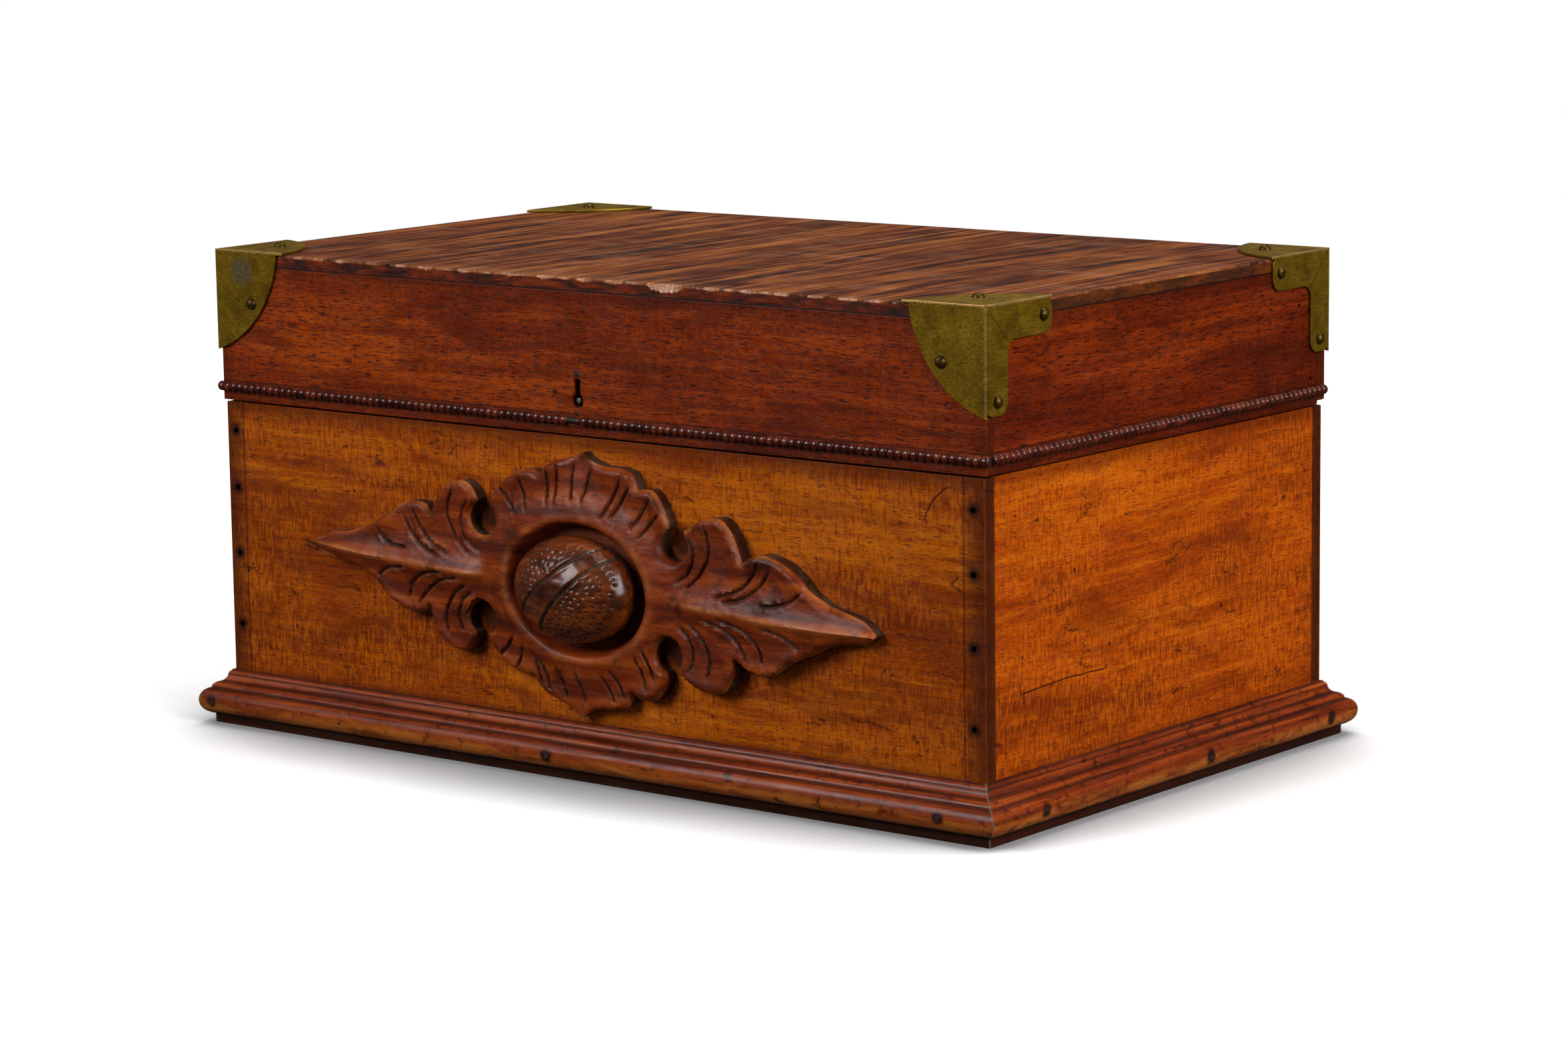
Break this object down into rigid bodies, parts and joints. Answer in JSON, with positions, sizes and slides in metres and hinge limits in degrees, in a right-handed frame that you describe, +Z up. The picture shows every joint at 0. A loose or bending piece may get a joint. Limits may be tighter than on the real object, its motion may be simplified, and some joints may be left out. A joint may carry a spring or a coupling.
{
  "type": "hinged-lid wooden box",
  "caption": "Lidded wooden box with brass lid corners, beaded lid edge, base moulding, carved cartouche on the front, back hinges and a lock in the lid.",
  "frame": {"origin": "centre of the underside, on the surface that the box stands on", "axes": "+X to the right along the front, -Y out of the front, +Z up"},
  "size_m": [0.4234, 0.2802, 0.2081],
  "materials": {
    "case_wood": "old French polish, satin, dark at the edges",
    "lid_wood": "red-brown mahogany, satin",
    "top_veneer": "figured veneer, worn polish",
    "moulding_wood": "mahogany, worn on the round",
    "beading_wood": "dark polished mahogany",
    "carved_wood": "carved mahogany, glossy on the crests",
    "iron_nails": "dark oxidised iron",
    "screw_brass": "aged brass",
    "corner_brass": "patinated brass, bright at the edges",
    "hinge_brass": "aged brass",
    "lock_steel": "dull steel",
    "bolt_brass": "worn brass",
    "lock_brass": "aged brass"
  },
  "bodies": {
    "case": {"base_board": "case_wood", "base_moulding_back": "moulding_wood", "base_moulding_front": "moulding_wood", "base_moulding_left": "moulding_wood", "base_moulding_right": "moulding_wood", "case_back": "case_wood", "case_back_nails": "iron_nails", "case_front": "case_wood", "case_front_nails": "iron_nails", "case_left_side": "case_wood", "case_right_side": "case_wood", "hinge_case_screws": "hinge_brass", "hinge_left_case_leaf": "hinge_brass", "hinge_pins": "hinge_brass", "hinge_right_case_leaf": "hinge_brass", "moulding_nails": "iron_nails", "ornament_boss": "carved_wood", "ornament_cartouche": "carved_wood", "strike_plate": "hinge_brass", "strike_screws": "hinge_brass"},
    "lid": {"beading_front": "beading_wood", "beading_left": "beading_wood", "beading_right": "beading_wood", "lid_back": "lid_wood", "lid_corner_back_left": "corner_brass", "lid_corner_back_right": "corner_brass", "lid_corner_front_left": "corner_brass", "lid_corner_front_right": "corner_brass", "lid_corner_screws": "screw_brass", "lid_front": "lid_wood", "lid_left_side": "lid_wood", "lid_right_side": "lid_wood", "lid_side_nails": "iron_nails", "lid_top_panel": "lid_wood", "lid_top_veneer": "top_veneer", "lock_backspring": "lock_steel", "lock_cap": "lock_brass", "lock_case": "lock_brass", "lock_drill_pin": "lock_steel", "lock_screws": "lock_brass", "hinge_left_lid_leaf": "hinge_brass", "hinge_right_lid_leaf": "hinge_brass", "hinge_lid_screws": "hinge_brass"},
    "bolt": {"lock_bolt": "bolt_brass"}
  },
  "joints": [
    {"name": "lid_hinge", "type": "hinge", "parent": "case", "child": "lid", "pos_m": [0, 0.124, 0.14155], "axis": [-1, 0, 0], "range_deg": [0, 180]},
    {"name": "bolt_slide", "type": "slide", "parent": "lid", "child": "bolt", "axis": [0, 0, -1], "range_m": [0, 0.0058]}
  ]
}
